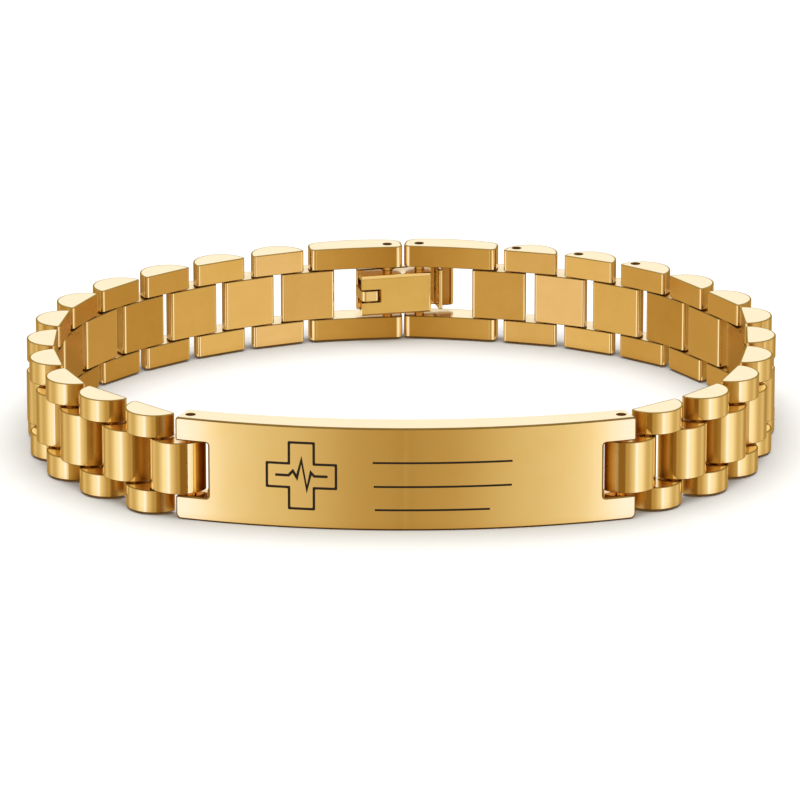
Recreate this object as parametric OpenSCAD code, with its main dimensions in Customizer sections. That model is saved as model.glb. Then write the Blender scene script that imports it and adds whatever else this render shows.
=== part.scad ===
// Medical alert bracelet, lying on its side as a closed loop.
// A curved identity plate, a flexible band of three rows of half-round links
// on upright pins, and a fold-over clasp. Millimetres, +Z up. The plate is at
// the front (-Y), the clasp at the back (+Y), and the pins stand along Z.

/* [Band] */
// Height of the band's links along the pins
band_h = 9.6; // [9.0:0.1:9.9]
// Height of each upper and lower bar of an outer pair
bar_h = 2.2; // [1.8:0.1:2.4]
// Length of one link along the band
link_len = 5.55; // [5.3:0.05:5.7]
// Thickness of the links, from the flat inner face to the crown
link_t = 2.9; // [2.8:0.05:3.0]
// Distance from the flat inner face to the line of pins
pin_in = 1.2; // [1.1:0.05:1.3]
// Pin spacing in an outer pair
outer_pins = 3.4; // [3.3:0.05:3.5]
// Pin spacing in a centre link
centre_pins = 3.2; // [3.1:0.05:3.3]
// Gap between a bar and the centre row
row_gap = 0.1; // [0.08:0.01:0.15]
// Diameter of the pins
pin_d = 1.0; // [0.8:0.05:1.0]
// Radial clearance of a pin in the link that turns on it
pin_clear = 0.05; // [0.03:0.01:0.08]
// Radius of the links' upright edges beside the flat face
link_edge = 0.3; // [0.2:0.05:0.4]

/* [Plate] */
// Height of the identity plate
plate_h = 10; // [9.8:0.1:10.4]
// Length of the plate, straight across
plate_len = 43.2; // [42.8:0.1:43.4]
// Thickness of the plate at its middle
plate_t = 3.0; // [2.8:0.1:3.2]
// Radius of the plate's outer face
plate_r_out = 66; // [60:1:72]
// Radius of the plate's inner face
plate_r_in = 70; // [66:1:76]
// Slant of the plate's end faces, in degrees
plate_end = 25; // [20:1:28]
// Distance between the plate's two pins
plate_pins = 40.3; // [40.1:0.1:40.4]
// Depth of the plate's pins behind the middle of its outer face
plate_pin_y = 4.4; // [4.3:0.05:4.5]
// Distance between the two notches that take the first centre links
notch_span = 37.0; // [36.3:0.1:37.1]
// Height of those notches
notch_h = 5.4; // [5.2:0.05:5.6]
// Rounding of the plate's upper corners, seen from the front
plate_corner_top = 0.25; // [0.2:0.05:0.6]
// Rounding of the plate's lower corners, seen from the front
plate_corner_low = 0.55; // [0.2:0.05:0.8]

/* [Clasp] */
// Length of the long outer pairs beside the clasp
long_len = 9.5; // [9.3:0.1:9.6]
// Thickness of the long pairs, from the ends of the inner face to the crown
long_t = 3.2; // [3.0:0.05:3.3]
// Distance from a long pair's clasp end to its clasp pin
long_end = 1.45; // [1.35:0.05:1.6]
// Distance from a long pair's band end to its first pin
long_start = 1.25; // [1.15:0.05:1.35]
// Radius of the long pairs' crowned outer face
long_r_out = 17; // [14:1:24]
// Radius of the long pairs' hollow inner face
long_r_in = 60; // [40:5:120]
// Length of the clasp base to the left of its pivot
base_left = 6.3; // [6.1:0.05:6.4]
// Length of the clasp base to the right of its pivot
base_right = 0.93; // [0.85:0.01:0.95]
// Depth from the pivot to the base's inner face
base_in = 1.67; // [1.6:0.01:1.7]
// Height of the clasp along the pins
clasp_h = 4.2; // [4.0:0.1:4.4]
// Thickness of the clasp's sheet metal
sheet = 0.5; // [0.4:0.05:0.55]
// Turn of the closed clasp against the wrist side, in degrees
clasp_turn = 13; // [12:0.5:14]
// Distance from the pivot to the underside of the lever
lever_in = 1.05; // [1.03:0.01:1.1]

/* [Hidden] */
$fn = 64;

gold = [0.83, 0.66, 0.33];
mid = plate_h / 2;
// The middle of the loop's own box, seen from above
loop_x = -0.38;
loop_y = 32.37;
eps = 0.01;

// How the loop lies: the heading of each piece, in whole degrees from the
// plate's own direction, going round from the plate to the clasp. Row 0 is the
// first centre link, rows 1 to 11 the outer pairs, row 12 the long pair. The
// other centre links lie halfway between their neighbours.
//        left, right
lie = [
    [18, 38],
    [45, 39],
    [47, 50],
    [67, 70],
    [79, 81],
    [91, 88],
    [99, 93],
    [114, 121],
    [130, 123],
    [140, 141],
    [149, 151],
    [157, 164],
    [172, 171]
];
// The outer pairs whose clasp-side pin shows as a small hole
open_pins = [9, 10, 11];

function way(a) = [cos(a), sin(a)];
function centre_heading(s, i) = i == 0 ? lie[0][s] : (lie[i][s] + lie[i + 1][s]) / 2;
// Where centre link i starts, and where it ends, on the right-hand side of the loop
function centre_start(s, i) = i == 0
    ? [plate_pins / 2, plate_pin_y]
    : centre_end(s, i - 1) + outer_pins * way(lie[i][s]);
function centre_end(s, i) = centre_start(s, i) + centre_pins * way(centre_heading(s, i));

long_pins = long_len - long_start - long_end;
// The two clasp pins, in the loop's own plane
pin_right = centre_end(1, 11) + long_pins * way(lie[12][1]);

// Puts a piece drawn along +X, with its crown towards +Y, where it lies in the loop
module lay(s, at, heading) {
    translate([-loop_x, -loop_y, 0])
        mirror([s == 0 ? 1 : 0, 0, 0])
            translate([at[0], at[1], 0])
                rotate(heading)
                    mirror([0, 1, 0])
                        children();
}

// Half-round outline of a link: pins on the X axis, flat face at -pin_in
module link_outline() {
    r = link_len / 2;
    intersection() {
        translate([0, link_t - pin_in - r]) circle(r);
        union() {
            translate([-r, link_edge - pin_in]) square([2 * r, link_t]);
            translate([link_edge - r, -pin_in]) square([2 * (r - link_edge), link_edge + eps]);
            for (x = [-1, 1])
                translate([x * (r - link_edge), link_edge - pin_in]) circle(link_edge);
        }
    }
}

// Outline of the long pair beside the clasp, pins on the X axis. The end
// corners run smoothly into the crowned face.
module long_outline() {
    end_r = 1.3;
    back_r = 0.65;
    half = long_len / 2;
    crown = long_t - pin_in;
    // centre of the crown's corner circle, and where it meets the crown
    corner_y = crown - long_r_out + sqrt(pow(long_r_out - end_r, 2) - pow(half - end_r, 2));
    meet_x = long_r_out * (half - end_r) / (long_r_out - end_r);
    translate([half - long_start, 0])
        difference() {
            intersection() {
                translate([0, crown - long_r_out]) circle(long_r_out, $fn = 128);
                union() {
                    translate([-meet_x, back_r - pin_in]) square([2 * meet_x, long_t]);
                    translate([-half, back_r - pin_in]) square([2 * half, corner_y - back_r + pin_in]);
                    translate([back_r - half, -pin_in]) square([2 * (half - back_r), back_r + eps]);
                    for (sx = [-1, 1]) {
                        translate([sx * (half - back_r), back_r - pin_in]) circle(back_r);
                        translate([sx * (half - end_r), corner_y]) circle(end_r);
                    }
                }
            }
            // the hollow inner face
            translate([0, -pin_in - sqrt(pow(long_r_in, 2) - pow(half - back_r, 2))])
                circle(long_r_in, $fn = 256);
        }
}

module pin(x, z0, z1) {
    translate([x, 0, z0]) cylinder(d = pin_d, h = z1 - z0);
}

module pin_hole(x, z0, z1) {
    translate([x, 0, z0 - 1]) cylinder(d = pin_d + 2 * pin_clear, h = z1 - z0 + 2);
}

// The small open end of a pin's hole, in the top and the underside
module pin_ends(x, z0, z1) {
    for (z = [z0 - 1, z1 - 0.35])
        translate([x, 0, z]) cylinder(d = pin_d, h = 1.35);
}

z_bar0 = mid - band_h / 2;
z_bar1 = mid + band_h / 2;
centre_z0 = z_bar0 + bar_h + row_gap;
centre_z1 = z_bar1 - bar_h - row_gap;

module centre_link(s, i) {
    color(gold)
        lay(s, centre_start(s, i - 1), centre_heading(s, i - 1))
            difference() {
                translate([centre_pins / 2, 0, centre_z0])
                    linear_extrude(centre_z1 - centre_z0) link_outline();
                for (x = [0, centre_pins]) pin_hole(x, centre_z0, centre_z1);
            }
}

module outer_pair(s, i) {
    color(gold)
        lay(s, centre_end(s, i - 1), lie[i][s])
            difference() {
                union() {
                    for (z = [z_bar0, z_bar1 - bar_h])
                        translate([outer_pins / 2, 0, z])
                            linear_extrude(bar_h) link_outline();
                    for (x = [0, outer_pins]) pin(x, z_bar0 + 0.5, z_bar1 - 0.5);
                }
                if (s == 1 && len(search(i, open_pins)) > 0)
                    pin_ends(outer_pins, z_bar0, z_bar1);
            }
}

module clasp_pair(s) {
    color(gold)
        lay(s, centre_end(s, 11), lie[12][s])
            difference() {
                union() {
                    for (z = [z_bar0, z_bar1 - bar_h])
                        translate([0, 0, z]) linear_extrude(bar_h) long_outline();
                    for (x = [0, long_pins]) pin(x, z_bar0 + 0.5, z_bar1 - 0.5);
                }
                pin_ends(long_pins, z_bar0, z_bar1);
            }
}

// Rounded rectangle standing in the XZ plane, its corners of different radii above and below
module plate_face() {
    x = plate_len / 2;
    r0 = plate_corner_low;
    r1 = plate_corner_top;
    nz = [mid - notch_h / 2, mid + notch_h / 2];
    nr = 0.25;
    difference() {
        union() {
            translate([r0 - x, 0]) square([2 * (x - r0), mid]);
            translate([r1 - x, 0]) square([2 * (x - r1), plate_h]);
            translate([-x, r0]) square([2 * x, plate_h - r0 - r1]);
            for (sx = [-1, 1]) {
                translate([sx * (x - r0), r0]) circle(r0);
                translate([sx * (x - r1), plate_h - r1]) circle(r1);
            }
        }
        for (sx = [-1, 1]) mirror([sx < 0 ? 1 : 0, 0]) {
            translate([notch_span / 2 + nr, nz[0]]) square([x, nz[1] - nz[0]]);
            translate([notch_span / 2, nz[0] + nr]) square([x, nz[1] - nz[0] - 2 * nr]);
            for (z = [nz[0] + nr, nz[1] - nr])
                translate([notch_span / 2 + nr, z]) circle(nr);
        }
    }
}

module id_plate() {
    x = plate_len / 2;
    // the end planes lean inwards from the corners of the outer face
    y0 = plate_r_out - sqrt(plate_r_out * plate_r_out - x * x);
    reach = 12;
    color(gold)
        translate([-loop_x, -loop_y, 0]) {
            difference() {
                union() {
                    intersection() {
                        linear_extrude(plate_h)
                            difference() {
                                intersection() {
                                    translate([0, plate_r_out]) circle(plate_r_out, $fn = 256);
                                    polygon([for (c = [[-1, -1], [1, -1], [1, reach], [-1, reach]])
                                        [c[0] * (x + (y0 - c[1]) * tan(plate_end)), c[1]]]);
                                }
                                translate([0, plate_t + plate_r_in]) circle(plate_r_in, $fn = 256);
                            }
                        translate([0, reach, 0]) rotate([90, 0, 0])
                            linear_extrude(reach + 1) plate_face();
                    }
                    for (sx = [-1, 1])
                        translate([sx * plate_pins / 2, plate_pin_y, 0.5])
                            cylinder(d = pin_d, h = plate_h - 1);
                }
                for (sx = [-1, 1], z = [-1, plate_h - 0.35])
                    translate([sx * plate_pins / 2, plate_pin_y, z])
                        cylinder(d = pin_d, h = 1.35);
            }
        }
}

// The clasp's pieces are drawn with the pivot at the origin, -X towards the
// free end and +Y outwards, then laid in the loop
module at_clasp() {
    translate([pin_right[0] - loop_x, pin_right[1] - loop_y, 0])
        rotate(clasp_turn) children();
}

clasp_z0 = mid - clasp_h / 2;
clasp_z1 = mid + clasp_h / 2;
tongue_h = 1.1;
slot_h = 1.4;
slot_end = 4.3;
flange_out = 0.7;

// Where the left pair's pin lies in the clasp's own frame
pin_left_x = -(centre_end(0, 11) + long_pins * way(lie[12][0]))[0];
pin_left_y = (centre_end(0, 11) + long_pins * way(lie[12][0]))[1];
dx = pin_left_x - pin_right[0];
dy = pin_left_y - pin_right[1];
catch_x = dx * cos(clasp_turn) + dy * sin(clasp_turn);
catch_y = -dx * sin(clasp_turn) + dy * cos(clasp_turn);

// Side view of the base's flanges: a rounded free end, the pivot and the catch
module flange_outline() {
    back = 1.0;
    edge = 0.35;
    y0 = -base_in;
    pin_r = pin_d / 2;
    difference() {
        union() {
            translate([-base_left, y0]) square([base_left + base_right - edge, flange_out - y0 - back]);
            translate([-base_left + back, y0]) square([base_left - back, flange_out - y0]);
            translate([-base_left + back, flange_out - back]) circle(back);
            translate([0, y0 + edge]) square([base_right, -y0 - edge]);
            translate([base_right - edge, y0 + edge]) circle(edge);
            circle(base_right);
        }
        // the catch opens outwards over the left pair's pin
        translate([catch_x, 0]) polygon([
            [-pin_r - 0.07, catch_y], [pin_r + 0.07, catch_y],
            [pin_r + 0.5, flange_out + 0.5], [-pin_r - 0.2, flange_out + 0.5]]);
        translate([catch_x, catch_y]) circle(pin_r + 0.07);
        circle(pin_r + pin_clear);
    }
}

// End view of the base: a channel with rounded bends, open outwards
module channel_outline() {
    bend = 0.18;
    difference() {
        union() {
            translate([bend - base_in, clasp_z0]) square([base_in + 3, clasp_h]);
            translate([-base_in, clasp_z0 + bend]) square([base_in + 3, clasp_h - 2 * bend]);
            for (z = [clasp_z0 + bend, clasp_z1 - bend])
                translate([bend - base_in, z]) circle(bend);
        }
        translate([sheet - base_in, clasp_z0 + sheet]) square([base_in + 4, clasp_h - 2 * sheet]);
    }
}

module clasp_base() {
    color(gold)
        at_clasp()
            difference() {
                intersection() {
                    translate([0, 0, clasp_z0 - 0.5]) linear_extrude(clasp_h + 1) flange_outline();
                    translate([-base_left - 1, 0, 0])
                        rotate([90, 0, 90]) linear_extrude(base_left + base_right + 2) channel_outline();
                }
                // the slot that the lever's tongue snaps into, open at the free end
                translate([-base_left - 1, -base_in - 1, mid - slot_h / 2])
                    cube([base_left + 1 - slot_end, 1 + sheet + 0.3, slot_h]);
            }
}

// Side view of the lever: the outer plate, its turned-down end and the finger tab
module lever_outline() {
    t = 0.6;
    top = lever_in + t;
    left = -6.25;
    tab = 3.8;
    union() {
        translate([left + 0.3, lever_in]) square([tab - left - 0.3 - 0.6, t]);
        translate([left, lever_in]) square([0.6, t - 0.3]);
        translate([left + 0.3, top - 0.3]) circle(0.3);
        // the turned-down end that stops beside the base
        translate([1.87, -0.65]) square([0.42, lever_in + 0.65 + 0.1]);
        translate([2.08, -0.65]) circle(0.21);
        // the finger tab, rounded at its tip
        translate([1.87, top - 1.2]) square([tab - 0.6 - 1.87, 1.2]);
        translate([tab - 0.6, top - 0.6]) circle(0.6);
    }
}

// The tongue: down round the base's free end and into its slot
module tongue_outline() {
    w = 0.45;
    x0 = -6.33;
    y0 = -base_in;
    y1 = lever_in + 0.5;
    union() {
        difference() {
            union() {
                translate([x0 + 0.5, y0]) square([0.93, w]);
                translate([x0 + 0.5, y0 + 0.5]) circle(0.5);
                translate([x0, y0 + 0.5]) square([w, y1 - y0 - 1.0]);
                translate([x0 + 0.5, y1 - 0.5]) circle(0.5);
                translate([x0 + 0.5, y1 - w]) square([1.2, w]);
            }
            translate([x0 + w, y0 + w]) square([3, y1 - y0 - 2 * w]);
        }
        translate([x0 + 1.43, y0 + 0.3]) circle(0.3);
    }
}

module clasp_lever() {
    ear_z = sheet + 0.1;
    color(gold)
        at_clasp()
            difference() {
                union() {
                    translate([0, 0, clasp_z0]) linear_extrude(clasp_h) lever_outline();
                    translate([0, 0, mid - tongue_h / 2]) linear_extrude(tongue_h) tongue_outline();
                    for (z = [clasp_z0 + ear_z, clasp_z1 - ear_z - sheet])
                        translate([0, 0, z]) linear_extrude(sheet) {
                            circle(0.95);
                            translate([-0.95, 0]) square([1.9, lever_in + 0.1]);
                        }
                }
                translate([0, 0, clasp_z0 - 1]) cylinder(d = pin_d + 2 * pin_clear, h = clasp_h + 2);
            }
}

id_plate();
for (i = [1:12]) {
    centre_link(0, i);
    centre_link(1, i);
}
for (i = [1:11]) {
    outer_pair(0, i);
    outer_pair(1, i);
}
clasp_pair(0);  // clasp_pair_left
clasp_pair(1);  // clasp_pair_right
clasp_base();
clasp_lever();
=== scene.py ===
"""Looks for the medical alert bracelet: every CAD node is replaced by a finely
finished mesh of the same shape, with rounded edges, an engraved plate and
procedural gold. Sizes in the tables are millimetres; objects are in metres."""

import math

import bmesh
import bpy
from mathutils import Matrix, Vector
from mathutils.geometry import tessellate_polygon


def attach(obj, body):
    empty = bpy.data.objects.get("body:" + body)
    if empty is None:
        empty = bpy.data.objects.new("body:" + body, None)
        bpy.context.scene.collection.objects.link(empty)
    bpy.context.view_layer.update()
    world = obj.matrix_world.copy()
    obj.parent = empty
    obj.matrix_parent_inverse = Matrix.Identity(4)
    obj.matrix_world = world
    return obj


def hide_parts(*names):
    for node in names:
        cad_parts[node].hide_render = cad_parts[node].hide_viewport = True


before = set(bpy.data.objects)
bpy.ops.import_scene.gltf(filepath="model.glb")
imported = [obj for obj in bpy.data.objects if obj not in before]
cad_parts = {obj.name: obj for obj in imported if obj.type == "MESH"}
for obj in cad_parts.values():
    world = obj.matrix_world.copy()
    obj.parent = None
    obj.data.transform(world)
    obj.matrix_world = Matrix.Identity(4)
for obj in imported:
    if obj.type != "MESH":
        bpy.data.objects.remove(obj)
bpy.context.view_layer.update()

MM = 0.001
# ---------------------------------------------------------------- the camera
cam_data = bpy.data.cameras.new("camera")
cam_data.lens = 321.2
cam_data.sensor_width = 36.0
cam_data.clip_start = 0.01
cam_data.clip_end = 20.0
camera = bpy.data.objects.new("camera", cam_data)
camera.location = (-0.17 * MM, -664.54 * MM, 212.12 * MM)
camera.rotation_euler = (math.radians(72.5), 0.0, 0.0)
bpy.context.scene.collection.objects.link(camera)
bpy.context.scene.camera = camera

scene = bpy.context.scene
scene.view_settings.view_transform = "Standard"
scene.view_settings.look = "None"

# ------------------------------------------------------------ small geometry
# SHADE_PAINTED marks faces given a darker gold as painted shade
POLISHED, SATIN, TOP, MARK, RIM, PIN, SHADE_PAINTED = 0, 1, 2, 3, 4, 5, 6


def arc(cx, cy, r, a0, a1, steps, mat=POLISHED, hollow=False):
    """Points of an arc as (x, y, normal x, normal y, material of the wall that follows)."""
    out = []
    sign = -1.0 if hollow else 1.0
    for k in range(steps + 1):
        a = math.radians(a0 + (a1 - a0) * k / steps)
        c, s = math.cos(a), math.sin(a)
        out.append((cx + r * c, cy + r * s, sign * c, sign * s, mat))
    return out


def rounded(corners, steps=5, mat=POLISHED):
    """Counter-clockwise polygon of (x, y, radius) corners, each corner an arc."""
    n = len(corners)
    out = []
    for i in range(n):
        p = Vector(corners[i - 1][:2])
        c = Vector(corners[i][:2])
        q = Vector(corners[(i + 1) % n][:2])
        r = corners[i][2]
        d0 = (c - p).normalized()
        d1 = (q - c).normalized()
        turn = math.atan2(d0.x * d1.y - d0.y * d1.x, d0.dot(d1))
        reach = r * math.tan(abs(turn) / 2)
        side = 1.0 if turn > 0 else -1.0
        centre = c - d0 * reach + Vector((-d0.y, d0.x)) * r * side
        n0 = Vector((d0.y, -d0.x))
        for k in range(steps + 1):
            a = turn * k / steps
            ca, sa = math.cos(a), math.sin(a)
            nn = Vector((n0.x * ca - n0.y * sa, n0.x * sa + n0.y * ca))
            pt = centre + nn * r * side
            out.append((pt.x, pt.y, nn.x, nn.y, mat))
    return out


def clean(outline):
    """Drops points that lie on the one before."""
    out = []
    for p in outline:
        if out and math.hypot(p[0] - out[-1][0], p[1] - out[-1][1]) < 1e-5:
            out[-1] = out[-1][:4] + (p[4],)
        else:
            out.append(p)
    if math.hypot(out[0][0] - out[-1][0], out[0][1] - out[-1][1]) < 1e-5:
        out.pop()
    return out


class Shell:
    """Vertices, and faces whose corners carry exact normals."""

    def __init__(self):
        self.co = []
        self.faces = []

    def ring(self, outline, z, inset=0.0):
        first = len(self.co)
        for x, y, nx, ny, _ in outline:
            self.co.append(Vector((x - nx * inset, y - ny * inset, z)))
        return list(range(first, len(self.co)))

    def face(self, verts, normals, mat):
        self.faces.append((tuple(verts), [Vector(n) for n in normals], mat))

    def plane(self, outer, holes, normal, mat):
        """A flat face with holes, as triangles that face along normal."""
        normal = Vector(normal).normalized()
        side = Vector((0, 0, 1)) if abs(normal.z) < 0.7 else Vector((1, 0, 0))
        u = side.cross(normal).normalized()
        v = normal.cross(u)
        loops = [list(outer)] + [list(h) for h in holes]
        flat = [i for loop in loops for i in loop]
        pts = [[Vector((self.co[i].dot(u), self.co[i].dot(v), 0)) for i in loop] for loop in loops]
        for a, b, c in tessellate_polygon(pts):
            ia, ib, ic = flat[a], flat[b], flat[c]
            cross = (self.co[ib] - self.co[ia]).cross(self.co[ic] - self.co[ia])
            if cross.length < 1e-10:
                continue
            if cross.dot(normal) < 0:
                ib, ic = ic, ib
            self.face((ia, ib, ic), [normal] * 3, mat)

    def wall(self, low, high, low_n, high_n, mats):
        """Quads between two rings, counter-clockwise rings facing outwards."""
        n = len(low)
        for j in range(n):
            k = (j + 1) % n
            self.face(
                (low[j], low[k], high[k], high[j]),
                [low_n[j], low_n[k], high_n[k], high_n[j]],
                mats[j],
            )

    def bar(self, outline, z0, z1, edge, skip=(), cap_mat=TOP, rim_mat=RIM, steps=3, strip=0.0, z0_holes=(), z1_holes=(), bottom=True):
        """A bar with its upper and lower edges rounded by edge. Returns its rings."""
        levels = []
        for k in range(steps + 1):
            a = math.radians(-90 + 90 * k / steps)
            levels.append((z0 + edge + edge * math.sin(a), edge * (1 - math.cos(a)), a))
        for k in range(steps + 1):
            a = math.radians(90 * k / steps)
            levels.append((z1 - edge + edge * math.sin(a), edge * (1 - math.cos(a)), a))
        rings = [self.ring(outline, z, inset) for z, inset, _ in levels]
        norms = [
            [(nx * math.cos(a), ny * math.cos(a), math.sin(a)) for _, _, nx, ny, _ in outline]
            for _, _, a in levels
        ]
        mats = [p[4] for p in outline]
        rims = [rim_mat] * len(outline)
        for i in range(len(levels) - 1):
            if i == steps and skip:
                n = len(outline)
                for j in range(n):
                    if j in skip:
                        continue
                    k = (j + 1) % n
                    self.face(
                        (rings[i][j], rings[i][k], rings[i + 1][k], rings[i + 1][j]),
                        [norms[i][j], norms[i][k], norms[i + 1][k], norms[i + 1][j]],
                        mats[j],
                    )
            else:
                self.wall(rings[i], rings[i + 1], norms[i], norms[i + 1], mats if i == steps else rims)
        if strip:
            for end, up in ((0, -1), (-1, 1)):
                z = levels[end][0]
                inner = self.ring(outline, z, edge + strip)
                n = len(outline)
                for j in range(n):
                    k = (j + 1) % n
                    quad = (rings[end][j], rings[end][k], inner[k], inner[j])
                    if up < 0:
                        quad = tuple(reversed(quad))
                    self.face(quad, [(0, 0, up)] * 4, rim_mat)
                rings[end] = inner
        if bottom:
            self.plane(rings[0], z0_holes, (0, 0, -1), cap_mat)
            self.plane(rings[-1], z1_holes, (0, 0, 1), cap_mat)
        return rings

    def circle(self, x, y, r, z, n=28):
        first = len(self.co)
        for k in range(n):
            a = 2 * math.pi * k / n
            self.co.append(Vector((x + r * math.cos(a), y + r * math.sin(a), z)))
        return list(range(first, first + n))

    def tube(self, low, high, outward, mat=POLISHED):
        """The wall of a pin (outward) or of a hole between two circles."""
        n = len(low)
        c = sum((self.co[i] for i in low), Vector()) / n
        c2 = sum((self.co[i] for i in high), Vector()) / n
        axis = (c2 - c).normalized()
        for j in range(n):
            k = (j + 1) % n
            nj = self.co[low[j]] - c
            nk = self.co[low[k]] - c
            nj = (nj - axis * nj.dot(axis)).normalized()
            nk = (nk - axis * nk.dot(axis)).normalized()
            quad = [low[j], low[k], high[k], high[j]]
            nn = [nj, nk, nk, nj]
            if not outward:
                nn = [-x for x in nn]
            cross = (self.co[quad[1]] - self.co[quad[0]]).cross(self.co[quad[2]] - self.co[quad[1]])
            if cross.dot(nn[0]) < 0:
                quad.reverse()
                nn.reverse()
            self.face(quad, nn, mat)

    def mesh(self, name, materials, scale=MM):
        mesh = bpy.data.meshes.new(name)
        mesh.from_pydata([co * scale for co in self.co], [], [f[0] for f in self.faces])
        for m in materials:
            mesh.materials.append(m)
        mesh.polygons.foreach_set("material_index", [f[2] for f in self.faces])
        mesh.polygons.foreach_set("use_smooth", [True] * len(self.faces))
        mesh.update()
        set_normals(mesh, [n for f in self.faces for n in f[1]])
        return mesh


def set_normals(mesh, normals):
    """Gives every face corner its own normal; edges where two faces' normals part are sharp."""
    seen = {}
    sharp = set()
    for poly in mesh.polygons:
        loops = list(poly.loop_indices)
        for k, li in enumerate(loops):
            lj = loops[(k + 1) % len(loops)]
            loop = mesh.loops[li]
            a, b = loop.vertex_index, mesh.loops[lj].vertex_index
            pair = (normals[li], normals[lj]) if a < b else (normals[lj], normals[li])
            other = seen.get(loop.edge_index)
            if other is None:
                seen[loop.edge_index] = pair
            elif pair[0].dot(other[0]) < 0.9995 or pair[1].dot(other[1]) < 0.9995:
                sharp.add(loop.edge_index)
    for e in sharp:
        mesh.edges[e].use_edge_sharp = True
    mesh.normals_split_custom_set(normals)


# ------------------------------------------------------------------ materials
def new_material(name):
    m = bpy.data.materials.new(name)
    m.use_nodes = True
    nodes = m.node_tree.nodes
    nodes.clear()
    out = nodes.new("ShaderNodeOutputMaterial")
    bsdf = nodes.new("ShaderNodeBsdfPrincipled")
    m.node_tree.links.new(bsdf.outputs["BSDF"], out.inputs["Surface"])
    return m, m.node_tree, bsdf


def noise_node(tree, coords, stretch, scale, detail=3.0, rough=0.55, seed=None):
    """Noise over object coordinates, stretched by three factors, another on every object."""
    mapping = tree.nodes.new("ShaderNodeMapping")
    mapping.inputs["Scale"].default_value = stretch
    tree.links.new(coords, mapping.inputs["Vector"])
    noise = tree.nodes.new("ShaderNodeTexNoise")
    noise.noise_dimensions = "4D"
    noise.inputs["Scale"].default_value = scale
    noise.inputs["Detail"].default_value = detail
    noise.inputs["Roughness"].default_value = rough
    tree.links.new(mapping.outputs["Vector"], noise.inputs["Vector"])
    if seed is not None:
        tree.links.new(seed, noise.inputs["W"])
    return noise.outputs["Fac"]


def remap(tree, value, a, b, c, d, smooth=False):
    node = tree.nodes.new("ShaderNodeMapRange")
    node.interpolation_type = "SMOOTHSTEP" if smooth else "LINEAR"
    for key, v in zip(("From Min", "From Max", "To Min", "To Max"), (a, b, c, d)):
        node.inputs[key].default_value = v
    tree.links.new(value, node.inputs["Value"])
    return node.outputs["Result"]


def bump(tree, height, distance, strength=1.0, normal=None):
    node = tree.nodes.new("ShaderNodeBump")
    node.inputs["Strength"].default_value = strength
    node.inputs["Distance"].default_value = distance
    tree.links.new(height, node.inputs["Height"])
    if normal is not None:
        tree.links.new(normal, node.inputs["Normal"])
    return node.outputs["Normal"]


def gold(name, tone_a, tone_b, rough_low, rough_high, brush, brush_depth, wave_depth, fine_depth, shade_depth=0.70, edge_tint=None):
    """Gold-plated steel: tone and gloss vary softly, with brushing and faint handling
    marks; ambient occlusion darkens the base colour down in the gaps, as painted shade."""
    m, tree, bsdf = new_material(name)
    links = tree.links
    local = tree.nodes.new("ShaderNodeAttribute")
    local.attribute_name = "local"
    coords = local.outputs["Vector"]
    info = tree.nodes.new("ShaderNodeObjectInfo")
    seed = tree.nodes.new("ShaderNodeMath")
    seed.operation = "MULTIPLY"
    seed.inputs[1].default_value = 37.0
    links.new(info.outputs["Random"], seed.inputs[0])
    seed = seed.outputs[0]
    # soft patches of tone and gloss, about 2 mm across
    patch = noise_node(tree, coords, (1, 1, 1), 450.0, 4.0, 0.6, seed)
    mix = tree.nodes.new("ShaderNodeMix")
    mix.data_type = "RGBA"
    mix.inputs["A"].default_value = tone_a
    mix.inputs["B"].default_value = tone_b
    links.new(remap(tree, patch, 0.35, 0.65, 0.0, 1.0), mix.inputs["Factor"])
    # painted shade: the base colour turns darker and browner where ambient occlusion finds gaps and crevices
    shade_ao = tree.nodes.new("ShaderNodeAmbientOcclusion")
    shade_ao.samples = 6
    shade_ao.inputs["Distance"].default_value = 0.0014
    painted_shade_mix = tree.nodes.new("ShaderNodeMix")
    painted_shade_mix.data_type = "RGBA"
    painted_shade_mix.inputs["A"].default_value = tuple(c * shade_depth * k for c, k in zip(tone_a[:3], (1.0, 0.80, 0.5))) + (1.0,)
    links.new(mix.outputs["Result"], painted_shade_mix.inputs["B"])
    links.new(remap(tree, shade_ao.outputs["AO"], 0.15, 0.80, 0.0, 1.0), painted_shade_mix.inputs["Factor"])
    links.new(painted_shade_mix.outputs["Result"], bsdf.inputs["Base Color"])
    # brushing or polishing lines
    lines = noise_node(tree, coords, brush, 1.0, 4.0, 0.65, seed)
    marks = noise_node(tree, coords, (1, 1, 1), 5200.0, 3.0, 0.7, seed)
    add = tree.nodes.new("ShaderNodeMath")
    add.operation = "MULTIPLY_ADD"
    links.new(patch, add.inputs[0])
    add.inputs[1].default_value = 0.5
    links.new(remap(tree, lines, 0.3, 0.7, 0.0, 0.5), add.inputs[2])
    links.new(remap(tree, add.outputs[0], 0.2, 0.8, rough_low, rough_high), bsdf.inputs["Roughness"])
    wave = noise_node(tree, coords, (1, 1, 1), 320.0, 2.0, 0.4, seed)
    normal = bump(tree, wave, wave_depth)
    normal = bump(tree, lines, brush_depth, 1.0, normal)
    normal = bump(tree, marks, fine_depth, 1.0, normal)
    links.new(normal, bsdf.inputs["Normal"])
    bsdf.inputs["Metallic"].default_value = 1.0
    if edge_tint:
        bsdf.inputs["Specular Tint"].default_value = edge_tint
    bsdf.inputs["IOR"].default_value = 1.5
    return m


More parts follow.
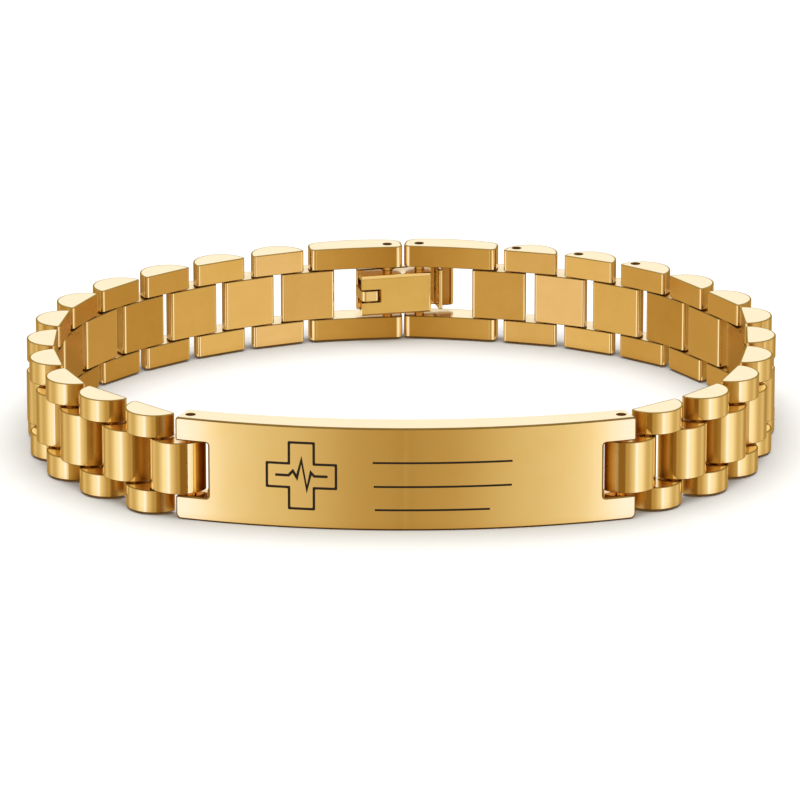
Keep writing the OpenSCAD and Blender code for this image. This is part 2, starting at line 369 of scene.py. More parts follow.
TONE_A = (1.0, 0.765, 0.385, 1.0)
TONE_B = (1.0, 0.785, 0.42, 1.0)
polished = gold("gold_polished", TONE_A, TONE_B, 0.07, 0.15, (300, 300, 9000), 2.5e-8, 2.0e-6, 1.0e-8)
# brushed gold whose darker tone is painted shade, for the faces that look into the loop
satin_shaded = gold("gold_satin_painted_shade", (0.73, 0.445, 0.125, 1), (0.77, 0.475, 0.145, 1), 0.15, 0.25, (260, 260, 14000), 1.8e-7, 1.5e-6, 6.0e-8)
top_gold = gold("gold_top", TONE_A, TONE_B, 0.14, 0.22, (2500, 2500, 2500), 4.0e-8, 1.5e-6, 2.0e-8)
plate_gold = gold("gold_plate", TONE_A, TONE_B, 0.09, 0.17, (200, 200, 12000), 3.0e-8, 1.5e-6, 1.0e-8, 0.90)
# the rough rims round each face, and the pins' ends and hole walls down in their holes, all in darker gold: painted
# shade along the edges and in the holes
rim_shade_gold = gold("gold_rim_painted_shade", (0.28, 0.18, 0.055, 1), (0.35, 0.23, 0.075, 1), 0.34, 0.48, (2500, 2500, 2500), 1.0e-7, 1.0e-6, 1.0e-7, 0.45, (0.55, 0.36, 0.14, 1))
# a lighter copy of the rim gold for the links, also painted shade along their edges
link_rim_shade = gold("gold_link_rim_painted_shade", (0.40, 0.27, 0.09, 1), (0.47, 0.325, 0.115, 1), 0.34, 0.48, (2500, 2500, 2500), 1.0e-7, 1.0e-6, 1.0e-7, 0.55, (0.62, 0.44, 0.20, 1))
# painted shade: the pins' ends and hole walls are darker gold that stands in for the shade in the holes
pin_shade_gold = gold("gold_pin_end_painted_shade", (0.42, 0.27, 0.09, 1), (0.50, 0.33, 0.12, 1), 0.40, 0.55, (2500, 2500, 2500), 1.0e-7, 1.0e-6, 1.0e-7, 0.8)
# the ends of each link's crown, down between the links: a darker, rougher gold that paints their shade
link_end_shade = gold("gold_link_end_painted_shade", (0.62, 0.37, 0.10, 1), (0.68, 0.41, 0.115, 1), 0.27, 0.36, (300, 300, 9000), 1.0e-7, 2.0e-6, 4.0e-8, 0.6)
# the clasp: its brushed inner face gets a paler gold, painted light, and the hollow of its finger tab a darker gold,
# painted shade
clasp_satin_lit = gold("gold_clasp_satin_painted_light", (0.83, 0.56, 0.175, 1), (0.87, 0.60, 0.205, 1), 0.16, 0.26, (14000, 260, 260), 1.6e-7, 1.5e-6, 6.0e-8)
tab_shade_gold = gold("gold_tab_painted_shade", (0.46, 0.225, 0.052, 1), (0.52, 0.26, 0.065, 1), 0.18, 0.28, (260, 260, 14000), 1.6e-7, 1.5e-6, 6.0e-8)


def mark_material():
    """The darkened floor of an engraved line."""
    m, tree, bsdf = new_material("engraving")
    local = tree.nodes.new("ShaderNodeAttribute")
    local.attribute_name = "local"
    coords = local.outputs["Vector"]
    grain = noise_node(tree, coords, (1, 1, 1), 9000.0, 4.0, 0.7)
    ramp = tree.nodes.new("ShaderNodeValToRGB")
    ramp.color_ramp.elements[0].position = 0.3
    ramp.color_ramp.elements[0].color = (0.006, 0.004, 0.003, 1)
    ramp.color_ramp.elements[1].position = 0.75
    ramp.color_ramp.elements[1].color = (0.030, 0.020, 0.011, 1)
    tree.links.new(grain, ramp.inputs["Fac"])
    tree.links.new(ramp.outputs["Color"], bsdf.inputs["Base Color"])
    tree.links.new(remap(tree, grain, 0.3, 0.7, 0.55, 0.8), bsdf.inputs["Roughness"])
    tree.links.new(bump(tree, grain, 4.0e-6), bsdf.inputs["Normal"])
    bsdf.inputs["Specular IOR Level"].default_value = 0.25
    return m


marking = mark_material()
LINK_MATS = [polished, satin_shaded, top_gold, marking, link_rim_shade, pin_shade_gold, link_end_shade]
PLATE_MATS = [plate_gold, satin_shaded, top_gold, marking, rim_shade_gold, pin_shade_gold]
CLASP_MATS = [polished, clasp_satin_lit, top_gold, marking, rim_shade_gold, pin_shade_gold, tab_shade_gold]

# --------------------------------------------------------------- how it lies
LOOP = Vector((-0.38, 32.37, 0))
MID = 5.0
BAND_H, BAR_H, GAP = 9.6, 2.2, 0.1
LINK_LEN, LINK_T, PIN_IN = 5.55, 2.9, 1.2
LONG_LEN, LONG_T = 9.5, 3.2
PLATE_PIN = 20.15
OUTER_PINS, CENTRE_PINS = 3.4, 3.2
Z0, Z1 = MID - BAND_H / 2, MID + BAND_H / 2
EDGE, STRIP = 0.07, 0.09
# angle past which the crown's ends get the darker gold of painted shade
CROWN_SHADE_FROM = 35.0
LIE = [
    (18, 38), (45, 39), (47, 50), (67, 70), (79, 81), (91, 88), (99, 93),
    (114, 121), (130, 123), (140, 141), (149, 151), (157, 164), (172, 171),
]
OPEN_PINS = (9, 10, 11)


def way(a):
    return Vector((math.cos(math.radians(a)), math.sin(math.radians(a)), 0))


def place(side, start, heading, middle):
    """Matrix that lays a piece, drawn round its middle with +Y outwards, on its side of the loop."""
    h = math.radians(heading)
    along = Vector((math.cos(h), math.sin(h), 0))
    out = Vector((math.sin(h), -math.cos(h), 0))
    centre = start + along * middle
    if side == 0:
        along.x, out.x, centre.x = -along.x, -out.x, -centre.x
        axis = along
    else:
        axis = -along
    m = Matrix.Identity(4)
    for i in range(3):
        m[i][0] = axis[i]
        m[i][1] = out[i]
    pos = centre - LOOP
    m[0][3], m[1][3], m[2][3] = pos.x * MM, pos.y * MM, 0.0
    return m


def finish_piece(name, mesh, matrix, body, node=None):
    """The piece's mesh, moved to its place; it keeps its own coordinates for the materials."""
    data = mesh.copy()
    local = data.attributes.new("local", "FLOAT_VECTOR", "POINT")
    local.data.foreach_set("vector", [c for v in data.vertices for c in v.co])
    turn = matrix.to_3x3()
    normals = [turn @ n.vector for n in mesh.corner_normals]
    data.transform(matrix)
    data.update()
    set_normals(data, normals)
    obj = bpy.data.objects.new(name, data)
    bpy.context.scene.collection.objects.link(obj)
    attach(obj, body)
    if node:
        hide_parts(node)
    return obj


# ------------------------------------------------------------------ the links
def link_outline():
    """Half-round: a flat inner face, small rounded corners, a round crown."""
    r, e = LINK_LEN / 2, 0.3
    cy = LINK_T - PIN_IN - r
    ey = e - PIN_IN
    ex = math.sqrt((r - e) ** 2 - (ey - cy) ** 2)
    meet = math.degrees(math.atan2(ey - cy, ex))
    out = arc(ex, ey, e, -90, meet, 8)
    # the crown's ends, down between the links, get a darker, rougher gold that paints the shade there
    out += arc(0, cy, r, meet, CROWN_SHADE_FROM, 10, SHADE_PAINTED)
    out += arc(0, cy, r, CROWN_SHADE_FROM, 180 - CROWN_SHADE_FROM, 38)
    out[-1] = out[-1][:4] + (SHADE_PAINTED,)
    out += arc(0, cy, r, 180 - CROWN_SHADE_FROM, 180 - meet, 10, SHADE_PAINTED)
    out += arc(-ex, ey, e, 180 - meet, 270, 8, POLISHED)
    out = clean(out)
    out[-1] = out[-1][:4] + (SATIN,)
    return out


def long_outline():
    """The long pair's outline, drawn round its middle."""
    r_out, r_in = 17.0, 60.0
    end_r, back_r = 1.3, 0.65
    half = LONG_LEN / 2
    crown = LONG_T - PIN_IN
    cx = half - end_r
    cy = crown - r_out + math.sqrt((r_out - end_r) ** 2 - cx ** 2)
    meet = math.degrees(math.atan2(cy - (crown - r_out), cx))
    bx, by = half - back_r, back_r - PIN_IN
    hollow_y = by - math.sqrt((r_in + back_r) ** 2 - bx ** 2)
    lean = math.degrees(math.asin(bx / (r_in + back_r)))
    out = arc(bx, by, back_r, -90 - lean, 0, 12)
    out += arc(cx, cy, end_r, 0, meet, 12)
    out += arc(0, crown - r_out, r_out, meet, 180 - meet, 40)
    out += arc(-cx, cy, end_r, 180 - meet, 180, 12)
    out += arc(-bx, by, back_r, 180, 270 + lean, 12)
    out += arc(0, hollow_y, r_in, 90 + lean, 90 - lean, 20, SATIN, hollow=True)
    return clean(out)


def recess(shell, x, y, r, z, up):
    """A pin's small open end: returns the ring for the cap's hole."""
    rim = shell.circle(x, y, r, z)
    step = -1 if up else 1
    low = shell.circle(x, y, r, z + step * 0.3)
    shell.tube(low, rim, False, PIN) if up else shell.tube(rim, low, False, PIN)
    # the pin's end, with a shallow dimple
    inner = shell.circle(x, y, r * 0.55, z + step * 0.33)
    n = (0, 0, 1 if up else -1)
    count = len(low)
    for j in range(count):
        k = (j + 1) % count
        quad = (low[j], low[k], inner[k], inner[j]) if up else (low[j], inner[j], inner[k], low[k])
        shell.face(quad, [n] * 4, PIN)
    shell.plane(inner, [], n, PIN)
    return rim


def pair_mesh(name, outline, pins, open_x):
    """An upper and a lower bar on two pins; pins is the list of places along the bar."""
    s = Shell()
    low_top, high_bottom = Z0 + BAR_H, Z1 - BAR_H
    low_rings = [s.circle(x, 0, 0.5, low_top) for x in pins]
    high_rings = [s.circle(x, 0, 0.5, high_bottom) for x in pins]
    for a, b in zip(low_rings, high_rings):
        s.tube(a, b, True, POLISHED)
    under, over = [], []
    if open_x is not None:
        under.append(recess(s, open_x, 0, 0.5, Z0, False))
        over.append(recess(s, open_x, 0, 0.5, Z1, True))
    s.bar(outline, Z0, low_top, EDGE, strip=STRIP, z0_holes=under, z1_holes=low_rings)
    s.bar(outline, high_bottom, Z1, EDGE, strip=STRIP, z0_holes=high_rings, z1_holes=over)
    return s.mesh(name, LINK_MATS)


def centre_mesh(name):
    s = Shell()
    lo, hi = Z0 + BAR_H + GAP, Z1 - BAR_H - GAP
    half = CENTRE_PINS / 2
    low = [s.circle(x, 0, 0.55, lo) for x in (-half, half)]
    high = [s.circle(x, 0, 0.55, hi) for x in (-half, half)]
    for a, b in zip(low, high):
        s.tube(a, b, False, POLISHED)
    s.bar(link_outline(), lo, hi, EDGE, strip=STRIP, z0_holes=low, z1_holes=high)
    return s.mesh(name, LINK_MATS)


centre_data = centre_mesh("centre_link")
half_pins = OUTER_PINS / 2
pair_data = pair_mesh("outer_pair", link_outline(), (-half_pins, half_pins), None)
pair_open_data = pair_mesh("outer_pair_open", link_outline(), (-half_pins, half_pins), -half_pins)
LONG_PINS, LONG_MID = 6.8, 3.5
long_left_data = pair_mesh("long_pair_left", long_outline(), (-LONG_MID, LONG_PINS - LONG_MID), LONG_PINS - LONG_MID)
long_right_data = pair_mesh("long_pair_right", long_outline(), (LONG_MID, LONG_MID - LONG_PINS), LONG_MID - LONG_PINS)

pin_at = {}
for side, word in ((0, "left"), (1, "right")):
    at = Vector((PLATE_PIN, 4.4, 0))
    for i in range(1, 13):
        heading = LIE[0][side] if i == 1 else (LIE[i - 1][side] + LIE[i][side]) / 2
        name = f"centre_link_{word}_{i}"
        finish_piece(name + "_fine", centre_data, place(side, at, heading, CENTRE_PINS / 2), "band", name)
        at = at + way(heading) * CENTRE_PINS
        if i < 12:
            heading = LIE[i][side]
            name = f"outer_pair_{word}_{i}"
            data = pair_open_data if side == 1 and i in OPEN_PINS else pair_data
            finish_piece(name + "_fine", data, place(side, at, heading, OUTER_PINS / 2), "band", name)
            at = at + way(heading) * OUTER_PINS
    heading = LIE[12][side]
    name = f"clasp_pair_{word}"
    data = long_right_data if side == 1 else long_left_data
    finish_piece(name + "_fine", data, place(side, at, heading, LONG_MID), "band", name)
    pin_at[side] = at + way(heading) * LONG_PINS

# ------------------------------------------------------------------ the plate
PLATE_H, PLATE_L, PLATE_T = 10.0, 43.2, 3.0
R_OUT, R_IN = 66.0, 70.0
END_SLANT = math.tan(math.radians(25))
NOTCH_X = 18.5
END_Y = R_OUT - math.sqrt(R_OUT ** 2 - (PLATE_L / 2) ** 2)
END_FROM = 18.75


def plate_y(x, f):
    """Depth at x: f is 0 on the outer face and 1 on the inner face."""
    outer = R_OUT - math.sqrt(R_OUT ** 2 - x * x)
    inner = PLATE_T + R_IN - math.sqrt(R_IN ** 2 - x * x)
    return outer * (1 - f) + inner * f


def bend(p):
    """From the flat plate (x, height, minus depth) to the curved one with slanted ends."""
    f = -p[2] / PLATE_T
    x = p[0]
    ax = abs(x)
    if ax > END_FROM:
        end = PLATE_L / 2
        for _ in range(3):
            end = PLATE_L / 2 + (END_Y - plate_y(end, f)) * END_SLANT
        ax = END_FROM + (ax - END_FROM) * (end - END_FROM) / (PLATE_L / 2 - END_FROM)
        x = math.copysign(ax, x)
    return Vector((x, plate_y(x, f), p[1]))


def unbend(x, y):
    """Flat place (x, minus depth) of a point of the curved plate, seen from above."""
    ax = abs(x)
    outer = plate_y(ax, 0)
    inner = plate_y(ax, 1)
    f = (y - outer) / (inner - outer)
    if ax > END_FROM:
        end = PLATE_L / 2
        for _ in range(3):
            end = PLATE_L / 2 + (END_Y - plate_y(end, f)) * END_SLANT
        ax = END_FROM + (ax - END_FROM) * (PLATE_L / 2 - END_FROM) / (end - END_FROM)
    return math.copysign(ax, x), -f * PLATE_T


def band_of(points, width):
    """A closed outline round an open line, width wide, with square ends."""
    pts = [Vector(p) for p in points]
    left, right = [], []
    for i, p in enumerate(pts):
        if i == 0:
            d = (pts[1] - p).normalized()
            nrm, k = Vector((-d.y, d.x)), 1.0
        elif i == len(pts) - 1:
            d = (p - pts[i - 1]).normalized()
            nrm, k = Vector((-d.y, d.x)), 1.0
        else:
            d0 = (p - pts[i - 1]).normalized()
            d1 = (pts[i + 1] - p).normalized()
            nrm = (Vector((-d0.y, d0.x)) + Vector((-d1.y, d1.x))).normalized()
            k = 1.0 / max(0.3, nrm.dot(Vector((-d0.y, d0.x))))
        left.append(p + nrm * k * width / 2)
        right.append(p - nrm * k * width / 2)
    return [tuple(p) for p in right] + [tuple(p) for p in reversed(left)]


def cross_loop(cx, cy, half, arm, r_out, r_in):
    """Outline of a plain cross."""
    pts = []
    for q in range(4):
        a = math.radians(90 * q)
        c, s = round(math.cos(a)), round(math.sin(a))
        for x, y, r in ((half, -arm, r_out), (half, arm, r_out), (arm, arm, r_in)):
            pts.append((cx + x * c - y * s, cy + x * s + y * c, r))
    return [(p[0], p[1]) for p in rounded(pts, 4)]


def build_plate():
    s = Shell()
    half = PLATE_L / 2
    b = 0.16
    lo, hi = MID - 2.7, MID + 2.7
    nr = 0.25
    e = 0.22
    corners = [
        (-half, 0, 0.55), (half, 0, 0.55),
        (half, lo, e), (NOTCH_X, lo, nr), (NOTCH_X, hi, nr), (half, hi, e),
        (half, PLATE_H, 0.3), (-half, PLATE_H, 0.3),
        (-half, hi, e), (-NOTCH_X, hi, nr), (-NOTCH_X, lo, nr), (-half, lo, e),
    ]
    outline = clean(rounded(corners, 6))
    n = len(outline)
    # the long straight walls above and below: their pin recesses are cut in by hand
    top_seg = [j for j in range(n) if outline[j][1] > PLATE_H - 1e-6 and outline[(j + 1) % n][1] > PLATE_H - 1e-6
               and abs(outline[j][0] - outline[(j + 1) % n][0]) > 10]
    low_seg = [j for j in range(n) if outline[j][1] < 1e-6 and outline[(j + 1) % n][1] < 1e-6
               and abs(outline[j][0] - outline[(j + 1) % n][0]) > 10]
    rings = s.bar(outline, -PLATE_T, 0.0, b, skip=set(top_seg + low_seg), bottom=False)
    wall_low, wall_high = rings[3], rings[4]
    for seg, z, ny in ((top_seg[0], PLATE_H, 1), (low_seg[0], 0.0, -1)):
        k = (seg + 1) % n
        quad = [wall_low[seg], wall_low[k], wall_high[k], wall_high[seg]]
        holes = []
        for sx in (-1, 1):
            rim, floor_ring, middle = [], [], []
            for t in range(24):
                a = 2 * math.pi * t / 24
                for ring, r, depth in ((rim, 0.5, 0.0), (floor_ring, 0.5, 0.3), (middle, 0.28, 0.33)):
                    fx, fz = unbend(sx * PLATE_PIN + r * math.cos(a), 4.4 + r * math.sin(a))
                    s.co.append(Vector((fx, z - ny * depth, fz)))
                    ring.append(len(s.co) - 1)
            s.tube(rim, floor_ring, False, PIN)
            nn = (0, ny, 0)
            for j in range(24):
                q = (floor_ring[j], floor_ring[(j + 1) % 24], middle[(j + 1) % 24], middle[j])
                cr = (s.co[q[1]] - s.co[q[0]]).cross(s.co[q[2]] - s.co[q[1]])
                if cr.dot(Vector(nn)) < 0:
                    q = tuple(reversed(q))
                s.face(q, [nn] * 4, PIN)
            s.plane(middle, [], nn, PIN)
            holes.append(rim)
        s.plane(quad, holes, (0, ny, 0), TOP)
    # back
    s.plane(rings[0], [], (0, 0, -1), SATIN)
    # engraved lines: each is a groove with a dark floor
    depth = 0.045

    def loop(points, z):
        first = len(s.co)
        for p in points:
            s.co.append(Vector((p[0], p[1], z)))
        return list(range(first, len(s.co)))

    def groove(outer, inner=None):
        """Cuts the region between two outlines; returns the outer rim, and fills the island."""
        rim, base = loop(outer, 0.0), loop(outer, -depth)
        walls = [(rim, base, 1)]
        base_holes = []
        island = None
        if inner:
            island, foot = loop(inner, 0.0), loop(inner, -depth)
            walls.append((island, foot, -1))
            base_holes.append(foot)
        for top, low, _ in walls:
            m = len(top)
            for j in range(m):
                k = (j + 1) % m
                q = (top[j], top[k], low[k], low[j])
                nn = (s.co[q[1]] - s.co[q[0]]).cross(s.co[q[2]] - s.co[q[1]]).normalized()
                s.face(q, [nn] * 4, MARK)
        s.plane(base, base_holes, (0, 0, 1), MARK)
        return rim, island

    front_holes = []
    # a plain medical cross, drawn as an outline, with a small pulse line inside
    cx, cy = -9.75, 5.15
    rim, island = groove(cross_loop(cx, cy, 3.35, 1.28, 0.12, 0.10), cross_loop(cx, cy, 3.11, 1.04, 0.10, 0.12))
    front_holes.append(rim)
    pulse = [(-2.45, 0.0), (-1.20, 0.0), (-0.80, 0.45), (-0.42, -0.20), (0.0, 1.55), (0.50, -1.30), (0.88, 0.35), (1.20, 0.0), (2.45, 0.0)]
    p_rim, _ = groove(band_of([(cx + x, cy + y) for x, y in pulse], 0.26))
    s.plane(island, [p_rim], (0, 0, 1), POLISHED)
    # three plain ruled lines
    for x0, x1, z in ((-3.10, 9.95, 6.62), (-3.00, 9.90, 4.28), (-2.90, 7.85, 2.00)):
        r, _ = groove(band_of([(x0, z), (x1, z)], 0.20))
        front_holes.append(r)
    s.plane(rings[-1], front_holes, (0, 0, 1), POLISHED)

    # to a mesh that keeps the flat normals, cut into strips, then bent
    bm = bmesh.new()
    layer = bm.loops.layers.float_vector.new("flat_normal")
    verts = [bm.verts.new(c) for c in s.co]
    for idx, normals, mat in s.faces:
        f = bm.faces.new([verts[i] for i in idx])
        f.material_index = mat
        f.smooth = True
        for l, nrm in zip(f.loops, normals):
            l[layer] = nrm
    bmesh.ops.remove_doubles(bm, verts=bm.verts, dist=1e-6)
    bmesh.ops.dissolve_degenerate(bm, edges=bm.edges, dist=1e-5)
    step = 0.55
    stations = [k * step for k in range(-38, 39)] + [-END_FROM, END_FROM]
    for x in sorted(stations):
        geom = bm.verts[:] + bm.edges[:] + bm.faces[:]
        bmesh.ops.bisect_plane(bm, geom=geom, dist=1e-7, plane_co=(x, 0, 0), plane_no=(1, 0, 0))
    h = 1e-4
    moved = {}
    jac = {}
    for v in bm.verts:
        p = v.co
        moved[v] = bend(p)
        # one-sided differences towards the plate's middle keep the slanted ends apart from the rest
        sx = -h if p.x > 0 else h
        cols = []
        for d in (Vector((sx, 0, 0)), Vector((0, h, 0)), Vector((0, 0, h))):
            cols.append((bend(p + d) - moved[v]) / (d.x + d.y + d.z))
        m = Matrix((cols[0], cols[1], cols[2])).transposed()
        jac[v] = m.inverted().transposed()
    for f in bm.faces:
        for l in f.loops:
            l[layer] = (jac[l.vert] @ Vector(l[layer])).normalized()
    for v in bm.verts:
        v.co = (moved[v] - LOOP) * MM
    normals = [Vector(l[layer]) for f in bm.faces for l in f.loops]
    mesh = bpy.data.meshes.new("id_plate_mesh")
    bm.to_mesh(mesh)
    bm.free()
    mesh.attributes.remove(mesh.attributes["flat_normal"])
    for m in PLATE_MATS:
        mesh.materials.append(m)
    set_normals(mesh, normals)
    return mesh


def add_rods(mesh_name, places, z0, z1, mats):
    s = Shell()
    for x, y in places:
        a, b = s.circle(x, y, 0.5, z0), s.circle(x, y, 0.5, z1)
        s.tube(a, b, True, POLISHED)
        s.plane(a, [], (0, 0, -1), TOP)
        s.plane(b, [], (0, 0, 1), TOP)
    return s.mesh(mesh_name, mats)


plate = finish_piece("id_plate_fine", build_plate(), Matrix.Identity(4), "band", "id_plate")
rods = add_rods("plate_pins", [(sx * PLATE_PIN - LOOP.x, 4.4 - LOOP.y) for sx in (-1, 1)], 2.2, 7.8, PLATE_MATS)
finish_piece("plate_pins", rods, Matrix.Identity(4), "band")


# ------------------------------------------------------------------ the clasp
def solid(name, shell_list):
    objs = []
    for k, s in enumerate(shell_list):
        mesh = s.mesh(f"{name}_{k}", CLASP_MATS, 1.0)
        o = bpy.data.objects.new(f"{name}_{k}", mesh)
        bpy.context.scene.collection.objects.link(o)
        objs.append(o)
    return objs


def plain_prism(outline, z0, z1, mat=POLISHED):
    s = Shell()
    a, b = s.ring(outline, z0), s.ring(outline, z1)
    flat = [(p[2], p[3], 0) for p in outline]
    s.wall(a, b, flat, flat, [p[4] for p in outline])
    s.plane(a, [], (0, 0, -1), mat)
    s.plane(b, [], (0, 0, 1), mat)
    return s


def turned(shell, how):
    """Turns a prism drawn along Z so that it runs along X: (a, b, z) becomes (z, a, b)."""
    if how == "x":
        shell.co = [Vector((c.z, c.x, c.y)) for c in shell.co]
        shell.faces = [(i, [Vector((n.z, n.x, n.y)) for n in ns], m) for i, ns, m in shell.faces]
    return shell


def boolean(obj, tool, op):
    mod = obj.modifiers.new("cut", "BOOLEAN")
    mod.operation = op
    mod.solver = "EXACT"
    mod.object = tool


def baked(obj, tools, edge, segments, angle=35):
    """The object's mesh with its cuts, its rounded edges and weighted normals, in metres."""
    if edge:
        bevel = obj.modifiers.new("edges", "BEVEL")
        bevel.width = edge
        bevel.segments = segments
        bevel.limit_method = "ANGLE"
        bevel.angle_limit = math.radians(angle)
        bevel.harden_normals = False
        bevel.use_clamp_overlap = True
        bevel.miter_outer = "MITER_ARC"
    weigh = obj.modifiers.new("weigh", "WEIGHTED_NORMAL")
    weigh.mode = "FACE_AREA"
    weigh.weight = 70
    weigh.keep_sharp = False
    bpy.context.view_layer.update()
    deps = bpy.context.evaluated_depsgraph_get()
    mesh = bpy.data.meshes.new_from_object(obj.evaluated_get(deps), preserve_all_data_layers=True, depsgraph=deps)
    mesh.transform(Matrix.Scale(MM, 4))
    for o in [obj] + tools:
        old = o.data
        bpy.data.objects.remove(o)
        if old.users == 0:
            bpy.data.meshes.remove(old)
    return mesh


CLASP_TURN = math.radians(13)
clasp_matrix = Matrix.Translation(
    ((pin_at[1].x - LOOP.x) * MM, (pin_at[1].y - LOOP.y) * MM, 0)
) @ Matrix.Rotation(CLASP_TURN, 4, "Z")
dx = -pin_at[0].x - pin_at[1].x
dy = pin_at[0].y - pin_at[1].y
catch_x = dx * math.cos(CLASP_TURN) + dy * math.sin(CLASP_TURN)
catch_y = -dx * math.sin(CLASP_TURN) + dy * math.cos(CLASP_TURN)
CLASP_Z0, CLASP_Z1 = 2.9, 7.1


def base_mesh():
    left, right, back, out, sheet = -6.3, 0.93, -1.67, 0.7, 0.5
    # side view of the flanges, with the catch open outwards
    c0 = catch_x
    side = rounded([
        (left, back, 0.0), (right, back, 0.35), (right, 0.93, 0.9), (-0.95, 0.93, 0.35),
        (-1.15, out, 0.2), (c0 + 1.0, out, 0.12), (c0 + 0.57, catch_y, 0.2),
        (c0 + 0.40, catch_y - 0.57, 0.35), (c0 - 0.40, catch_y - 0.57, 0.35),
        (c0 - 0.57, catch_y, 0.2), (c0 - 0.70, out, 0.12),
        (left, out, 1.0),
    ], 6)
    side = clean(side)
    body = plain_prism(side, CLASP_Z0 - 0.5, CLASP_Z1 + 0.5)
    # end view: a channel open outwards, (y, z)
    bend_r, inner_r = 0.36, 0.08
    y0, y1 = back, 3.0
    channel = clean(rounded([
        (y0, CLASP_Z0, bend_r), (y1, CLASP_Z0, 0.0), (y1, CLASP_Z0 + sheet, 0.0), (y0 + sheet, CLASP_Z0 + sheet, inner_r),
        (y0 + sheet, CLASP_Z1 - sheet, inner_r), (y1, CLASP_Z1 - sheet, 0.0), (y1, CLASP_Z1, 0.0), (y0, CLASP_Z1, bend_r),
    ], 6))
    along = turned(plain_prism(channel, left - 1, right + 1), "x")
    # the slot for the tongue, open at the free end
    slot = clean(rounded([(left - 1, MID - 0.7, 0.0), (-4.3, MID - 0.7, 0.12), (-4.3, MID + 0.7, 0.12), (left - 1, MID + 0.7, 0.0)], 4))
    slot_shell = Shell()
    a = slot_shell.ring(slot, back - 1.0)
    b = slot_shell.ring(slot, back + sheet + 0.3)
    flat = [(p[2], p[3], 0) for p in slot]
    slot_shell.wall(a, b, flat, flat, [POLISHED] * len(slot))
    slot_shell.plane(a, [], (0, 0, -1), POLISHED)
    slot_shell.plane(b, [], (0, 0, 1), POLISHED)
    # (x, z, y) drawn: swap to (x, y, z); the swap mirrors, so faces are turned round
    slot_shell.co = [Vector((c.x, c.z, c.y)) for c in slot_shell.co]
    slot_shell.faces = [
        (tuple(reversed(i)), [Vector((n.x, n.z, n.y)) for n in reversed(ns)], m) for i, ns, m in slot_shell.faces
    ]
    hole = plain_prism(arc(0, 0, 0.55, 0, 360 * 31 / 32, 31), CLASP_Z0 - 1, CLASP_Z1 + 1)
    objs = solid("base", [body, along, slot_shell, hole])
    boolean(objs[0], objs[1], "INTERSECT")
    boolean(objs[0], objs[2], "DIFFERENCE")
    boolean(objs[0], objs[3], "DIFFERENCE")
    mesh = baked(objs[0], objs[1:], 0.06, 3)
    mesh.name = "clasp_base_mesh"
    # the flat inner plate is brushed, in the paler gold that is painted light
    for p in mesh.polygons:
        if p.normal.y < -0.97 and p.center.y < -1.6 * MM:
            p.material_index = SATIN
        elif abs(p.normal.z) > 0.97:
            p.material_index = TOP
        else:
            p.material_index = POLISHED
    return mesh


def lever_mesh():
    s = Shell()
    top, low = 1.65, 1.05
    outline = clean(rounded([
        (-6.25, low, 0.12), (1.87, low, 0.12), (1.87, -0.86, 0.19), (2.29, -0.86, 0.19),
        (2.29, 0.45, 0.12), (3.8, 0.45, 0.6), (3.8, top, 0.6), (-6.25, top, 0.3),
    ], 6))
    # the sides that look into the loop get the darker gold that is painted shade
    outline = [p[:4] + ((SHADE_PAINTED,) if p[3] < -0.9 and p[0] > 2.2 else (p[4],)) for p in outline]
    s.bar(outline, CLASP_Z0, CLASP_Z1, 0.1, cap_mat=POLISHED)
    # tongue: down round the base's free end and into its slot
    x0, y0, y1, w = -6.33, -1.67, 1.55, 0.45
    tongue = clean(rounded([
        (x0, y0, 0.5), (x0 + 1.73, y0, 0.22), (x0 + 1.73, y0 + w, 0.22), (x0 + w, y0 + w, 0.12),
        (x0 + w, y1 - w, 0.12), (x0 + 1.7, y1 - w, 0.1), (x0 + 1.7, y1, 0.1), (x0, y1, 0.5),
    ], 6))
    s.bar(tongue, MID - 0.55, MID + 0.55, 0.06, cap_mat=POLISHED)
    # ears inside the base's flanges
    r, h = 0.95, 1.15
    ear = clean(arc(0, 0, r, 180, 360, 24) + rounded([(r, h, 0.1), (-r, h, 0.1)], 1)[:0] + [(r, h, 1, 0, POLISHED), (-r, h, -1, 0, POLISHED)])
    for z in (3.5, 6.0):
        low_ring = s.circle(0, 0, 0.55, z)
        high_ring = s.circle(0, 0, 0.55, z + 0.5)
        s.tube(low_ring, high_ring, False, POLISHED)
        a, b = s.ring(ear, z), s.ring(ear, z + 0.5)
        flat = [(p[2], p[3], 0) for p in ear]
        s.wall(a, b, flat, flat, [POLISHED] * len(ear))
        s.plane(a, [low_ring], (0, 0, -1), POLISHED)
        s.plane(b, [high_ring], (0, 0, 1), POLISHED)
    return s.mesh("clasp_lever_mesh", CLASP_MATS)


finish_piece("clasp_base_fine", base_mesh(), clasp_matrix, "clasp_base", "clasp_base")
finish_piece("clasp_lever_fine", lever_mesh(), clasp_matrix, "clasp_lever", "clasp_lever")

# -------------------------------------------------------- floor and lighting
floor_mesh = bpy.data.meshes.new("floor")
size = 3.0
floor_mesh.from_pydata([(-size, -size, 0), (size, -size, 0), (size, size, 0), (-size, size, 0)], [], [(0, 1, 2, 3)])
floor = bpy.data.objects.new("floor", floor_mesh)
floor.location.z = -0.00002
bpy.context.scene.collection.objects.link(floor)
m, tree, bsdf = new_material("floor")
bsdf.inputs["Base Color"].default_value = (0.42, 0.42, 0.42, 1)
bsdf.inputs["Roughness"].default_value = 0.9
bsdf.inputs["Specular IOR Level"].default_value = 0.0
floor_mesh.materials.append(m)
floor.visible_glossy = False

F0 = (1.0, 0.775, 0.40)


def studio(g):
    """Studio colour that gold mirrors as green value g: brown where it is dark, and
    bluish white where it is bright."""
    r = 1.24 * g ** 0.70
    b = 0.55 * g ** 1.75 + 0.45 * max(0.0, (g - 0.75) / 0.3) ** 1.5
    return (r / F0[0], g / F0[1], b / F0[2], 1.0)


